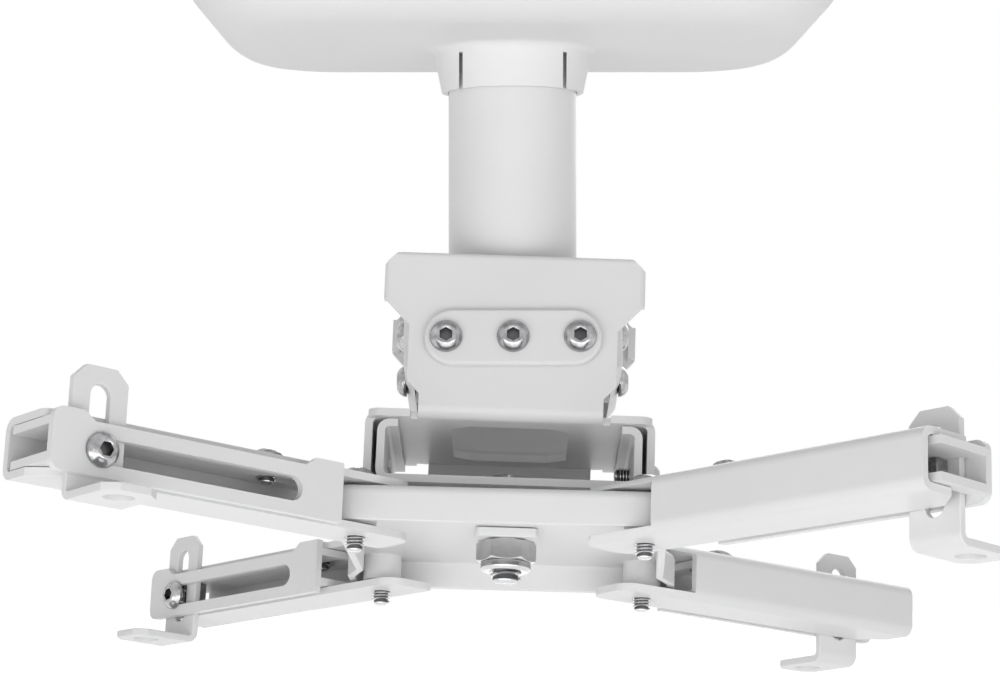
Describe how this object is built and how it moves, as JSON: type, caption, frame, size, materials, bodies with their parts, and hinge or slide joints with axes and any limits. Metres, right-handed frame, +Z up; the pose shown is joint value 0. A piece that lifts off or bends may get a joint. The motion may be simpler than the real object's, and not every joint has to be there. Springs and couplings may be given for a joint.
{
  "type": "projector ceiling mount",
  "caption": "White steel ceiling mount for a projector: pole under a moulded cover, tilt and roll brackets, a turning hub and swinging arms with sliding bars and feet.",
  "frame": {"origin": "middle of the ceiling plate's upper face, on the pole's axis", "axes": "+Z up to the ceiling, +X to the right and +Y to the back as seen in the picture"},
  "size_m": [0.2932, 0.281, 0.2624],
  "materials": {
    "powder_coat": "satin white powder coat",
    "moulded_white": "fine satin moulded plastic",
    "bright_zinc": "bright plated steel"
  },
  "bodies": {
    "base": {"ceiling_plate": "powder_coat", "pole": "powder_coat", "pole_yoke": "powder_coat", "pitch_pivot_screws": "bright_zinc", "pitch_lock_screws": "bright_zinc", "pitch_nuts": "bright_zinc"},
    "cover": {"ceiling_cover": "moulded_white"},
    "tilt": {"tilt_frame": "powder_coat", "front_clamp_plate": "powder_coat", "rear_clamp_plate": "powder_coat", "front_roll_screws": "bright_zinc", "rear_roll_screws": "bright_zinc"},
    "roll": {"roll_bracket": "powder_coat", "hanger_bracket": "powder_coat", "hanger_lock_screw": "bright_zinc", "center_bolt": "bright_zinc", "hub_spacer": "powder_coat", "square_washer": "powder_coat", "hub_nut": "bright_zinc", "lock_collar": "bright_zinc"},
    "hub": {"hub": "powder_coat"},
    "front_right_arm": {"front_right_arm": "powder_coat", "front_right_pivot_screw": "bright_zinc", "front_right_bar_lock_screw": "bright_zinc"},
    "front_right_bar": {"front_right_bar": "powder_coat"},
    "front_right_carriage": {"front_right_foot_screw": "bright_zinc", "front_right_foot_nut": "bright_zinc"},
    "front_right_foot": {"front_right_foot": "powder_coat"},
    "rear_right_arm": {"rear_right_arm": "powder_coat", "rear_right_pivot_screw": "bright_zinc", "rear_right_bar_lock_screw": "bright_zinc"},
    "rear_right_bar": {"rear_right_bar": "powder_coat"},
    "rear_right_carriage": {"rear_right_foot_screw": "bright_zinc", "rear_right_foot_nut": "bright_zinc"},
    "rear_right_foot": {"rear_right_foot": "powder_coat"},
    "rear_left_arm": {"rear_left_arm": "powder_coat", "rear_left_pivot_screw": "bright_zinc", "rear_left_bar_lock_screw": "bright_zinc"},
    "rear_left_bar": {"rear_left_bar": "powder_coat"},
    "rear_left_carriage": {"rear_left_foot_screw": "bright_zinc", "rear_left_foot_nut": "bright_zinc"},
    "rear_left_foot": {"rear_left_foot": "powder_coat"},
    "front_left_arm": {"front_left_arm": "powder_coat", "front_left_pivot_screw": "bright_zinc", "front_left_bar_lock_screw": "bright_zinc"},
    "front_left_bar": {"front_left_bar": "powder_coat"},
    "front_left_carriage": {"front_left_foot_screw": "bright_zinc", "front_left_foot_nut": "bright_zinc"},
    "front_left_foot": {"front_left_foot": "powder_coat"}
  },
  "joints": [
    {"name": "cover_slide", "type": "slide", "parent": "base", "child": "cover", "axis": [0, 0, -1], "range_m": [0, 0.04]},
    {"name": "pitch", "type": "hinge", "parent": "base", "child": "tilt", "pos_m": [0, 0, -0.1377], "axis": [1, 0, 0], "range_deg": [-3, 33]},
    {"name": "roll", "type": "hinge", "parent": "tilt", "child": "roll", "pos_m": [0, -0.00285, -0.14833], "axis": [0, 0.9659, -0.2588], "range_deg": [-14, 10]},
    {"name": "yaw", "type": "hinge", "parent": "roll", "child": "hub", "pos_m": [-0.00206, -0.01811, -0.20528], "axis": [0.0349, 0.2587, 0.9653], "continuous": true},
    {"name": "front_right_arm_swing", "type": "hinge", "parent": "hub", "child": "front_right_arm", "pos_m": [0.04069, -0.06615, -0.19395], "axis": [0.0349, 0.2587, 0.9653], "range_deg": [-46, 44]},
    {"name": "front_right_bar_extend", "type": "slide", "parent": "front_right_arm", "child": "front_right_bar", "axis": [0.6892, -0.7057, 0.1642], "range_m": [-0.003, 0.009]},
    {"name": "front_right_foot_slide", "type": "slide", "parent": "front_right_bar", "child": "front_right_carriage", "axis": [0.6892, -0.7057, 0.1642], "range_m": [-0.0655, 0.001]},
    {"name": "front_right_foot_height", "type": "slide", "parent": "front_right_carriage", "child": "front_right_foot", "axis": [0.0349, 0.2587, 0.9653], "range_m": [-0.0128, 0.0072]},
    {"name": "rear_right_arm_swing", "type": "hinge", "parent": "hub", "child": "rear_right_arm", "pos_m": [0.04466, 0.0255, -0.21865], "axis": [0.0349, 0.2587, 0.9653], "range_deg": [-37.8, 52.2]},
    {"name": "rear_right_bar_extend", "type": "slide", "parent": "rear_right_arm", "child": "rear_right_bar", "axis": [0.8146, 0.5522, -0.1774], "range_m": [-0.003, 0.009]},
    {"name": "rear_right_foot_slide", "type": "slide", "parent": "rear_right_bar", "child": "rear_right_carriage", "axis": [0.8146, 0.5522, -0.1774], "range_m": [-0.0625, 0.004]},
    {"name": "rear_right_foot_height", "type": "slide", "parent": "rear_right_carriage", "child": "rear_right_foot", "axis": [0.0349, 0.2587, 0.9653], "range_m": [-0.0146, 0.0054]},
    {"name": "rear_left_arm_swing", "type": "hinge", "parent": "hub", "child": "rear_left_arm", "pos_m": [-0.0448, 0.02993, -0.21661], "axis": [0.0349, 0.2587, 0.9653], "range_deg": [-44.5, 45.5]},
    {"name": "rear_left_bar_extend", "type": "slide", "parent": "rear_left_arm", "child": "rear_left_bar", "axis": [-0.67, 0.7227, -0.1694], "range_m": [-0.002, 0.01]},
    {"name": "rear_left_foot_slide", "type": "slide", "parent": "rear_left_bar", "child": "rear_left_carriage", "axis": [-0.67, 0.7227, -0.1694], "range_m": [-0.066, 0.0005]},
    {"name": "rear_left_foot_height", "type": "slide", "parent": "rear_left_carriage", "child": "rear_left_foot", "axis": [0.0349, 0.2587, 0.9653], "range_m": [-0.014, 0.006]},
    {"name": "front_left_arm_swing", "type": "hinge", "parent": "hub", "child": "front_left_arm", "pos_m": [-0.04878, -0.06171, -0.19191], "axis": [0.0349, 0.2587, 0.9653], "range_deg": [-41.5, 48.5]},
    {"name": "front_left_bar_extend", "type": "slide", "parent": "front_left_arm", "child": "front_left_bar", "axis": [-0.7756, -0.6022, 0.1894], "range_m": [0, 0.012]},
    {"name": "front_left_foot_slide", "type": "slide", "parent": "front_left_bar", "child": "front_left_carriage", "axis": [-0.7756, -0.6022, 0.1894], "range_m": [-0.0655, 0.001]},
    {"name": "front_left_foot_height", "type": "slide", "parent": "front_left_carriage", "child": "front_left_foot", "axis": [0.0349, 0.2587, 0.9653], "range_m": [-0.0165, 0.0035]}
  ]
}
